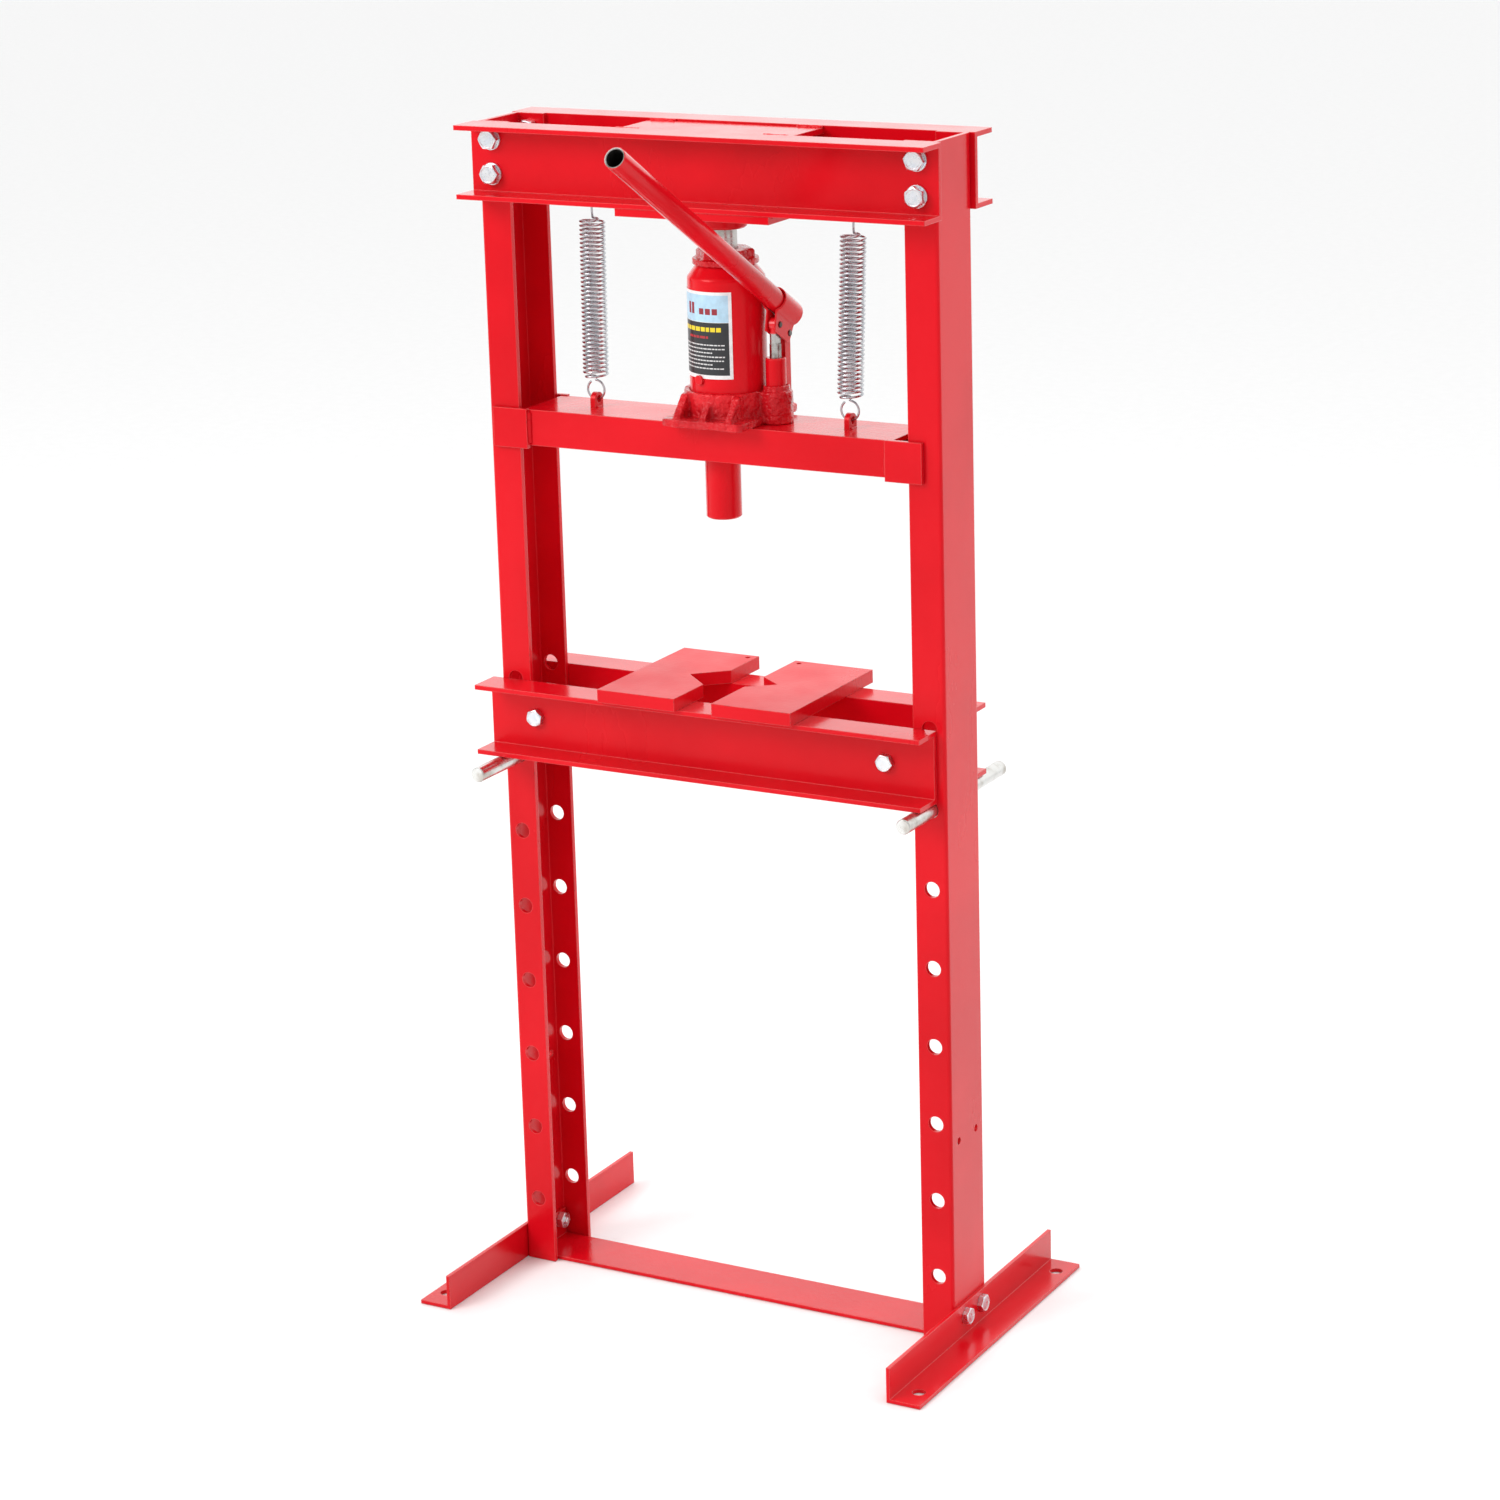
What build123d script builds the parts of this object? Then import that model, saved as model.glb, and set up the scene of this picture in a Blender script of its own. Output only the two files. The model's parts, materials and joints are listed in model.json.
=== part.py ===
from build123d import *
import os
from math import cos, radians, sin, tan

# Hydraulic H-frame shop press. Millimetres, +Z up, X across the frame, -Y towards the operator.
# The origin is on the floor, midway between the two uprights.

# ---- driving dimensions -------------------------------------------------------------------------
frame_height = 1260.0
frame_width = 526.0            # over the outside of the two upright webs
upright_depth = 76.0
upright_flange = 36.0
upright_wall = 5.0
upright_bend = 3.5             # outside radius of the bends
upright_root = 1.5             # inside radius of the bends
flange_hole_inset = 17.5       # pin hole axis from the outside of the web

channel_height = 76.0
channel_flange = 38.0
channel_wall = 5.0
top_beam_overhang = 5.0        # past each upright's web
top_bolt_inset = 19.0          # bolt axis from the outside of the upright web
top_bolt_upper_drop = 17.0
top_bolt_spacing = 36.0

pin_diameter = 16.0
pin_length = 225.0
pin_hole_clearance = 0.4
first_pin_level = 72.0
pin_pitch = 85.0
pin_level_count = 8
bed_pin_level = 7
left_pin_front = 121.0         # how far the pin stands out in front of the frame's middle
right_pin_front = 101.0
pin_rest_gap = 0.3

bed_shift = -10.0
bed_bolt_inset = 55.0
bed_slide_gap = 0.5
bed_sleeve_outer = 14.0

arbor_width = 92.0
arbor_depth = 183.0
arbor_thickness = 14.0
arbor_shift_y = 8.0
arbor_gap = 44.0
arbor_gap_shift = 7.0          # the plates' gap lies this far right of the bed's middle
arbor_hole = 6.0
arbor_hole_inset = 9.0
left_notch = (60.0, 33.0)      # mouth width and depth of the V
right_notch = (42.0, 28.0)

foot_length = 390.0
foot_leg = 38.0
foot_wall = 4.0
foot_anchor_hole = 14.0
foot_anchor_inset = 28.0
foot_anchor_out = 23.0
foot_bolt_z = 24.0
foot_bolt_spacing = 36.0
crossbar_depth = 60.0
crossbar_wall = 4.0
crossbar_tab = 34.0
spare_hole = 8.0
spare_hole_z = 220.0
spare_hole_spacing = 40.0

beam_side_gap = 12.0           # from the beam's middle place to each upright's flanges
beam_height = 38.0
beam_wall = 5.0
beam_shift = -6.0
guide_gap = 0.5
guide_length = 41.0
guide_height = 42.0
guide_wall = 5.0
guide_overlap = 6.0
guide_drop = 1.0               # guide plates sit this far below the beam's middle
pusher_diameter = 37.0
pusher_length = 66.0

head_plate_width = 176.0
head_plate_shift = 4.0         # from the jack's axis
head_plate_depth = 150.0
head_plate_wall = 8.0
tie_plate_width = 200.0
tie_plate_wall = 6.0
tie_plate_drop = 2.0

jack_shift = 4.0
base_plate = (96.0, 124.0)
base_plate_corner = 8.0
base_plate_wall = 8.0
base_rib_wall = 8.0
base_rib_spacing = 30.0
base_rib_inset = 2.0           # ribs stop this far inside the plate's edge
base_rib_top = 40.0            # from the jack's axis to the ribs' top end
base_ring_radius = 46.0
base_height = 33.0
tank_radius = 40.0
tank_wall = 3.5
tank_height = 132.0            # from the tank's foot to its top
shoulder_height = 13.0
cap_flange_radius = 34.0
cap_flange_height = 6.0
cap_nut_width = 54.0
cap_nut_height = 9.0
cap_plug_depth = 8.0
cap_lip = 4.0                  # the tank's top ring is this much smaller than the cap's flange
cap_chamfer = 2.0
tank_round = 6.0
tank_seat = 4.0                # the tank stands this deep in the base
ram_floor_gap = 3.0
label_wall = 0.4
label_height = 89.0
label_rise = 92.5              # the label's middle above the press beam
label_start = -72.0
label_end = 36.0
plug_azimuth = -17.0
plug_rise = 46.0
plug_radius = 5.0
plug_head = 2.6
cylinder_seat = 12.0
cylinder_outer = 21.0
cylinder_bore = 17.0
ram_radius = 12.5
ram_head_height = 12.0
ram_gap = 0.3
ram_exposed = 29.0
ram_seat_radius = 23.0
ram_seat_height = 17.7
ram_seat_floor = 8.0           # depth of the seat's recess
stroke = 110.0

pump_tank_gap = 1.5            # between the handle socket and the tank
pump_radius = 10.5
pump_height = 28.0
pump_boss_radius = 14.0
pump_boss_foot = 17.0
pump_boss_height = 39.0
piston_radius = 6.0
piston_gap = 0.4
pump_seat = 23.0
pump_floor = 3.0
pump_room = 16.0               # below the piston at rest
eye_radius = 7.0
eye_flat = 20.0
pin_fit = 0.08
pin_proud = 1.4
piston_pin_z = 101.0           # pins measured up from the beam's top face
link_base_z = 26.0
link_offset = 20.0             # link pins behind the pump axis
link_thickness = 7.0
link_width = 11.0
socket_pin_radius = 3.0
eye_gap = 1.6                  # the piston's eye is loose on its pin

handle_angle = 31.3            # rise of the handle towards its free end
handle_radius = 11.0
handle_wall = 2.0
handle_length = 386.0
handle_in_socket = 32.0
socket_gap = 0.5
socket_wall = 2.0
socket_pin_gap = 11.0          # pin line below the handle tube
cheek_gap = 0.6
socket_mouth = 14.0            # ahead of the piston pin, along the handle
socket_back = 28.0             # behind the piston pin
fork_below_pin = 10.0

valve_radius = 4.0
valve_gap = 0.3
valve_shift = 15.0             # from the jack's axis, between two ribs at the rear
valve_rise = 14.5
valve_stand = 3.5
valve_depth = 20.0
valve_head = 8.0
valve_head_radius = 5.5
valve_slot = 2.0
ear_wall = 5.0
ear_radius = 8.0
ear_room = 1.5                 # around the link bar's foot
link_pin_head_radius = 4.2
link_pin_head = 2.0

spring_radius = 14.0
spring_wire = 3.0
spring_spacing = 298.0         # between the lugs on the press beam
hanger_spacing = 304.0
spring_ring = 10.0
lug_thickness = 6.0
lug_width = 16.0
lug_height = 16.0
lug_hole = 8.0
lug_hole_z = 8.5
hanger_radius = 4.0
hanger_rise = 12.0             # above the top beam's underside
coil_drop = 31.0               # the coils end this far below the top beam

m12 = dict(shank=6.0, flats=19.0, head=7.5, nut=10.0)
m10 = dict(shank=5.0, flats=17.0, head=6.5, nut=8.0)
bolt_clearance = 0.5
thread_gap = 0.1
washer_wall = 2.0
washer_margin = 2.0            # beyond the hexagon's flats
thread_end = 3.0               # a bolt stands this far out of its nut

# ---- sizes worked out from the driving ones -----------------------------------------------------
web_x = frame_width / 2
top_beam_length = frame_width + 2 * top_beam_overhang
bed_length = frame_width
beam_length = frame_width - 2 * (upright_flange + beam_side_gap)
pin_x = web_x - flange_hole_inset
pin_hole_radius = pin_diameter / 2 + pin_hole_clearance
m12_hole = m12["shank"] + bolt_clearance
m10_hole = m10["shank"] + bolt_clearance
half_depth = upright_depth / 2
top_bolt_x = web_x - top_bolt_inset
top_bolt_z = (frame_height - top_bolt_upper_drop, frame_height - top_bolt_upper_drop - top_bolt_spacing)
beam_under_z = frame_height - channel_height
pin_z = first_pin_level + (bed_pin_level - 1) * pin_pitch
bed_bottom = pin_z + pin_diameter / 2 + pin_rest_gap
bed_top = bed_bottom + channel_height
bed_web_y = half_depth + bed_slide_gap
bed_bolt_x = bed_length / 2 - bed_bolt_inset
bed_bolt_z = bed_bottom + channel_height / 2
foot_bolt_points = [(y * foot_bolt_spacing / 2, foot_bolt_z) for y in (-1, 1)]
guide_y = half_depth + guide_gap
hanger_z = beam_under_z + hanger_rise
coil_top_z = beam_under_z - coil_drop
head_bottom = beam_under_z - head_plate_wall
# the jack stands on the press beam with its ram in the seat, and that sets the beam's height
ram_top = head_bottom - ram_seat_height + ram_seat_floor - ram_gap
cap_top = ram_top - ram_exposed
tank_top = cap_top - cap_flange_height - cap_nut_height
base_top = tank_top - tank_height + tank_seat
beam_top = base_top - base_height
beam_bottom = beam_top - beam_height
label_z = beam_top + label_rise
plug_z = beam_top + plug_rise
cylinder_bottom = base_top - cylinder_seat
tube_hold = handle_radius + socket_gap
pump_offset = tank_radius + pump_tank_gap + tube_hold + socket_wall
pump_x = jack_shift + pump_offset
socket_drop = handle_radius + socket_pin_gap
jack_axis = Axis((jack_shift, 0, 0), (0, 0, 1))
valve_x = jack_shift + valve_shift
valve_z = beam_top + valve_rise
valve_face = base_ring_radius + valve_stand
link_low_z = beam_top + link_base_z
ear_outer = link_thickness / 2 + cheek_gap + ear_wall

os.makedirs("parts", exist_ok=True)


def save(builder, node):
    """Label a finished piece and write it."""
    builder.part.label = node
    export_step(builder.part, "parts/" + node + ".step")


def channel(length, shift, web_y, side, bottom):
    """A C channel along X with its web's inner face at web_y and its flanges pointing outwards."""
    tip_y = web_y + channel_flange
    with BuildPart() as piece:
        with BuildSketch(Plane.YZ.offset(shift - length / 2)):
            with Locations((side * (web_y + tip_y) / 2, bottom + channel_height / 2)):
                Rectangle(channel_flange, channel_height)
            inner_y = side * (web_y + channel_wall + tip_y) / 2
            with Locations((inner_y, bottom + channel_height / 2)):
                Rectangle(
                    channel_flange - channel_wall,
                    channel_height - 2 * channel_wall,
                    mode=Mode.SUBTRACT,
                )
        extrude(amount=length)
    return piece.part


def hexes(plane, points, flats, height):
    """Hexagonal prisms standing on a plane."""
    with BuildPart() as piece:
        with BuildSketch(plane):
            with Locations(points):
                RegularPolygon(flats / 2, 6, major_radius=False)
        extrude(amount=height)
    return piece.part


def rods(plane, points, radius, length):
    """Round bars, or the cores of holes, along a plane's normal."""
    with BuildPart() as piece:
        with BuildSketch(plane):
            with Locations(points):
                Circle(radius)
        extrude(amount=length)
    return piece.part


# ---- uprights -----------------------------------------------------------------------------------
pin_levels = [first_pin_level + level * pin_pitch for level in range(pin_level_count)]
for side, node in ((-1, "left_upright"), (1, "right_upright")):
    with BuildPart() as upright:
        with BuildSketch() as profile:
            with Locations((side * (web_x - upright_flange / 2), 0)):
                Rectangle(upright_flange, upright_depth)
            with Locations((side * (web_x - upright_wall - upright_flange / 2), 0)):
                Rectangle(upright_flange, upright_depth - 2 * upright_wall, mode=Mode.SUBTRACT)
            corners = profile.vertices().sort_by(Axis((0, 0, 0), (-side, 0, 0)))
            fillet(corners[:2], upright_bend)
            roots = profile.vertices().filter_by_position(
                Axis.X, side * (web_x - upright_wall) - 0.01, side * (web_x - upright_wall) + 0.01
            )
            fillet(roots, upright_root)
        extrude(amount=frame_height)
        pin_points = [(side * pin_x, z) for z in pin_levels]
        add(
            rods(Plane.XZ.offset(-half_depth), pin_points, pin_hole_radius, upright_depth),
            mode=Mode.SUBTRACT,
        )
        bolt_points = [(side * top_bolt_x, z) for z in top_bolt_z]
        add(
            rods(Plane.XZ.offset(-half_depth), bolt_points, m12_hole, upright_depth),
            mode=Mode.SUBTRACT,
        )
        web_plane = Plane.YZ.offset(side * web_x)
        add(rods(web_plane, foot_bolt_points, m10_hole, -side * upright_wall), mode=Mode.SUBTRACT)
        spare_points = [(y * spare_hole_spacing / 2, spare_hole_z) for y in (-1, 1)]
        add(rods(web_plane, spare_points, spare_hole / 2, -side * upright_wall), mode=Mode.SUBTRACT)
    save(upright, node)

# ---- top beam: two channels bolted to the uprights ----------------------------------------------
for side, node in ((-1, "top_beam_front"), (1, "top_beam_rear")):
    with BuildPart() as top_beam:
        add(channel(top_beam_length, 0, half_depth, side, beam_under_z))
        beam_points = [(x * top_bolt_x, z) for x in (-1, 1) for z in top_bolt_z]
        add(
            rods(Plane.XZ.offset(-side * half_depth), beam_points, m12_hole, -side * channel_wall),
            mode=Mode.SUBTRACT,
        )
    save(top_beam, node)

with BuildPart() as top_tie_plate:
    with Locations((0, 0, frame_height - tie_plate_drop - tie_plate_wall / 2)):
        Box(tie_plate_width, upright_depth, tie_plate_wall)
save(top_tie_plate, "top_tie_plate")

with BuildPart() as head_plate:
    with BuildSketch(Plane.XY.offset(head_bottom)):
        with Locations((jack_shift + head_plate_shift, 0)):
            Rectangle(head_plate_width, head_plate_depth)
    extrude(amount=head_plate_wall)
save(head_plate, "head_plate")

with BuildPart() as ram_seat:
    seat_bottom = head_bottom - ram_seat_height
    with BuildSketch(Plane.XY.offset(seat_bottom)):
        with Locations((jack_shift, 0)):
            Circle(ram_seat_radius)
    extrude(amount=ram_seat_height)
    with BuildSketch(Plane.XY.offset(seat_bottom)):
        with Locations((jack_shift, 0)):
            Circle(ram_radius + ram_gap)
    extrude(amount=ram_seat_floor, mode=Mode.SUBTRACT)
    chamfer(ram_seat.faces().sort_by(Axis.Z)[0].outer_wire().edges(), 1.5)
save(ram_seat, "ram_seat")

with BuildPart() as spring_hangers:
    hanger_points = [(x * hanger_spacing / 2, hanger_z) for x in (-1, 1)]
    add(rods(Plane.XZ.offset(-half_depth), hanger_points, hanger_radius, upright_depth))
save(spring_hangers, "spring_hangers")

# ---- top beam bolts: heads outside the channel, nuts inside the upright -------------------------
web_face = half_depth + channel_wall
nut_face = half_depth - upright_wall
all_top_points = [(x * top_bolt_x, z) for x in (-1, 1) for z in top_bolt_z]
with BuildPart() as top_bolts:
    for side in (-1, 1):
        head_plane = Plane.XZ.offset(-side * (web_face + washer_wall))
        add(hexes(head_plane, all_top_points, m12["flats"], -side * m12["head"]))
        grip = washer_wall + web_face - nut_face + m12["nut"] + thread_end
        add(rods(head_plane, all_top_points, m12["shank"], side * grip))
save(top_bolts, "top_beam_bolts")

with BuildPart() as top_washers:
    for side in (-1, 1):
        washer_plane = Plane.XZ.offset(-side * web_face)
        add(rods(washer_plane, all_top_points, m12["flats"] / 2 + washer_margin, -side * washer_wall))
        add(
            rods(washer_plane, all_top_points, m12_hole, -side * washer_wall),
            mode=Mode.SUBTRACT,
        )
save(top_washers, "top_beam_washers")

with BuildPart() as top_nuts:
    for side in (-1, 1):
        nut_plane = Plane.XZ.offset(-side * nut_face)
        add(hexes(nut_plane, all_top_points, m12["flats"], side * m12["nut"]))
        add(
            rods(nut_plane, all_top_points, m12["shank"] + thread_gap, side * m12["nut"]),
            mode=Mode.SUBTRACT,
        )
save(top_nuts, "top_beam_nuts")

# ---- feet and base crossbar ---------------------------------------------------------------------
anchor_y = foot_length / 2 - foot_anchor_inset
for side, node in ((-1, "left_foot"), (1, "right_foot")):
    with BuildPart() as foot:
        with BuildSketch(Plane.XZ.offset(-foot_length / 2)):
            with Locations((side * (web_x + foot_leg / 2), foot_leg / 2)):
                Rectangle(foot_leg, foot_leg)
            with Locations((side * (web_x + foot_wall + foot_leg / 2), foot_wall + foot_leg / 2)):
                Rectangle(foot_leg, foot_leg, mode=Mode.SUBTRACT)
        extrude(amount=foot_length)
        add(
            rods(Plane.YZ.offset(side * web_x), foot_bolt_points, m10_hole, side * foot_wall),
            mode=Mode.SUBTRACT,
        )
        anchors = [(side * (web_x + foot_anchor_out), y * anchor_y) for y in (-1, 1)]
        add(rods(Plane.XY, anchors, foot_anchor_hole / 2, foot_wall), mode=Mode.SUBTRACT)
    save(foot, node)

with BuildPart() as crossbar:
    tab_x = web_x - upright_wall
    with BuildSketch(Plane.XZ.offset(-crossbar_depth / 2)):
        with Locations((0, crossbar_tab / 2)):
            Rectangle(2 * tab_x, crossbar_tab)
        with Locations((0, crossbar_wall + crossbar_tab / 2)):
            Rectangle(2 * (tab_x - crossbar_wall), crossbar_tab, mode=Mode.SUBTRACT)
    extrude(amount=crossbar_depth)
    for side in (-1, 1):
        add(
            rods(Plane.YZ.offset(side * tab_x), foot_bolt_points, m10_hole, -side * crossbar_wall),
            mode=Mode.SUBTRACT,
        )
save(crossbar, "base_crossbar")

with BuildPart() as foot_bolts:
    for side in (-1, 1):
        head_plane = Plane.YZ.offset(side * (web_x + foot_wall))
        add(hexes(head_plane, foot_bolt_points, m10["flats"], side * m10["head"]))
        grip = foot_wall + upright_wall + crossbar_wall + m10["nut"] + thread_end
        add(rods(head_plane, foot_bolt_points, m10["shank"], -side * grip))
save(foot_bolts, "foot_bolts")

with BuildPart() as foot_nuts:
    for side in (-1, 1):
        nut_plane = Plane.YZ.offset(side * (web_x - upright_wall - crossbar_wall))
        add(hexes(nut_plane, foot_bolt_points, m10["flats"], -side * m10["nut"]))
        add(
            rods(nut_plane, foot_bolt_points, m10["shank"] + thread_gap, -side * m10["nut"]),
            mode=Mode.SUBTRACT,
        )
save(foot_nuts, "foot_nuts")

# ---- bed: two channels that embrace the uprights ------------------------------------------------
bed_bolt_points = [(bed_shift + x * bed_bolt_x, bed_bolt_z) for x in (-1, 1)]
for side, node in ((-1, "bed_channel_front"), (1, "bed_channel_rear")):
    with BuildPart() as bed_channel:
        add(channel(bed_length, bed_shift, bed_web_y, side, bed_bottom))
        add(
            rods(Plane.XZ.offset(-side * bed_web_y), bed_bolt_points, m10_hole, -side * channel_wall),
            mode=Mode.SUBTRACT,
        )
    save(bed_channel, node)

bed_face = bed_web_y + channel_wall
with BuildPart() as bed_bolts:
    head_plane = Plane.XZ.offset(bed_face)
    add(hexes(head_plane, bed_bolt_points, m10["flats"], m10["head"]))
    add(rods(head_plane, bed_bolt_points, m10["shank"], -(2 * bed_face + m10["nut"] + thread_end)))
save(bed_bolts, "bed_bolts")

with BuildPart() as bed_nuts:
    nut_plane = Plane.XZ.offset(-bed_face)
    add(hexes(nut_plane, bed_bolt_points, m10["flats"], -m10["nut"]))
    add(rods(nut_plane, bed_bolt_points, m10["shank"] + thread_gap, -m10["nut"]), mode=Mode.SUBTRACT)
save(bed_nuts, "bed_nuts")

with BuildPart() as bed_sleeves:
    sleeve_plane = Plane.XZ.offset(-bed_web_y)
    add(rods(sleeve_plane, bed_bolt_points, bed_sleeve_outer / 2, 2 * bed_web_y))
    add(
        rods(sleeve_plane, bed_bolt_points, m10_hole, 2 * bed_web_y),
        mode=Mode.SUBTRACT,
    )
save(bed_sleeves, "bed_spacer_sleeves")

for side, front, node in ((-1, left_pin_front, "left_bed_pin"), (1, right_pin_front, "right_bed_pin")):
    with BuildPart() as bed_pin:
        add(
            rods(Plane.XZ.offset(front - pin_length), [(side * pin_x, pin_z)], pin_diameter / 2, pin_length)
        )
        chamfer(bed_pin.edges().filter_by(GeomType.CIRCLE), 1.0)
    save(bed_pin, node)

# ---- arbor plates: loose plates with a V on the facing sides ------------------------------------
for side, notch, node in ((-1, left_notch, "left_arbor_plate"), (1, right_notch, "right_arbor_plate")):
    inner_x = bed_shift + arbor_gap_shift + side * arbor_gap / 2
    outer_x = inner_x + side * arbor_width
    with BuildPart() as arbor_plate:
        with BuildSketch(Plane.XY.offset(bed_top)):
            with Locations(((inner_x + outer_x) / 2, arbor_shift_y)):
                Rectangle(arbor_width, arbor_depth)
            with BuildLine():
                Polyline(
                    (inner_x, arbor_shift_y - notch[0] / 2),
                    (inner_x + side * notch[1], arbor_shift_y),
                    (inner_x, arbor_shift_y + notch[0] / 2),
                    close=True,
                )
            make_face(mode=Mode.SUBTRACT)
            hole_y = arbor_shift_y + arbor_depth / 2 - arbor_hole_inset
            with Locations((inner_x + side * arbor_hole_inset, hole_y)):
                Circle(arbor_hole / 2, mode=Mode.SUBTRACT)
        extrude(amount=arbor_thickness)
    save(arbor_plate, node)

# ---- press beam ---------------------------------------------------------------------------------
with BuildPart() as press_beam:
    with BuildSketch(Plane.YZ.offset(beam_shift - beam_length / 2)):
        with Locations((0, beam_top - beam_height / 2)):
            Rectangle(2 * guide_y, beam_height)
            Rectangle(2 * (guide_y - beam_wall), beam_height - 2 * beam_wall, mode=Mode.SUBTRACT)
    extrude(amount=beam_length)
save(press_beam, "press_beam")

guide_inner = beam_length / 2 - guide_overlap
for side, across in ((-1, "left"), (1, "right")):
    for front, along in ((-1, "front"), (1, "rear")):
        with BuildPart() as guide:
            guide_x = beam_shift + side * (guide_inner + guide_length / 2)
            guide_mid_z = beam_top - beam_height / 2 - guide_drop
            with Locations((guide_x, front * (guide_y + guide_wall / 2), guide_mid_z)):
                Box(guide_length, guide_wall, guide_height)
        save(guide, "guide_plate_" + along + "_" + across)

with BuildPart() as pusher:
    with BuildSketch(Plane.XY.offset(beam_bottom - pusher_length)):
        with Locations((beam_shift, 0)):
            Circle(pusher_diameter / 2)
    extrude(amount=pusher_length)
    chamfer(pusher.faces().sort_by(Axis.Z)[0].edges(), 1.5)
save(pusher, "pusher")

for side, node in ((-1, "left_spring_lug"), (1, "right_spring_lug")):
    with BuildPart() as lug:
        lug_x = beam_shift + side * spring_spacing / 2
        round_radius = lug_width / 2
        with BuildSketch(Plane.YZ.offset(lug_x - lug_thickness / 2)):
            with Locations((0, beam_top + (lug_height - round_radius) / 2)):
                Rectangle(lug_width, lug_height - round_radius)
            with Locations((0, beam_top + lug_height - round_radius)):
                Circle(round_radius)
            with Locations((0, beam_top + lug_hole_z)):
                Circle(lug_hole / 2, mode=Mode.SUBTRACT)
        extrude(amount=lug_thickness)
    save(lug, node)

# ---- springs: plain sleeves for the close coils, a ring at each end -----------------------------
for side, node in ((-1, "left_spring"), (1, "right_spring")):
    low_x = beam_shift + side * spring_spacing / 2
    high_x = side * hanger_spacing / 2
    low_ring_z = beam_top + lug_hole_z + spring_ring
    high_ring_z = hanger_z + hanger_radius + spring_wire / 2 + 0.5 - spring_ring
    lean = (high_x - low_x) / (high_ring_z - low_ring_z)
    coil_bottom_z = low_ring_z + spring_ring
    coil_x = low_x + lean * (coil_bottom_z - low_ring_z)
    coil_plane = Plane(origin=(coil_x, 0, coil_bottom_z), x_dir=(0, 1, 0), z_dir=(lean, 0, 1))
    with BuildPart() as spring:
        with BuildSketch(coil_plane):
            Circle(spring_radius)
            Circle(spring_radius - spring_wire, mode=Mode.SUBTRACT)
        extrude(amount=coil_top_z - coil_bottom_z)
        with BuildSketch(coil_plane):
            Circle(spring_radius)
        extrude(amount=spring_wire)
        for ring_x, ring_z in ((low_x, low_ring_z), (high_x, high_ring_z)):
            with Locations(Location((ring_x, 0, ring_z), (90, 0, 0))):
                Torus(spring_ring, spring_wire / 2)
        stem_z = high_ring_z - spring_ring
        with BuildSketch(coil_plane.offset(coil_top_z - coil_bottom_z - spring_wire)):
            Circle(spring_radius)
        extrude(amount=spring_wire)
        with BuildSketch(coil_plane.offset(coil_top_z - coil_bottom_z)):
            Circle(spring_wire / 2)
        extrude(amount=stem_z - coil_top_z + spring_wire / 2)
    save(spring, node)

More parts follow.
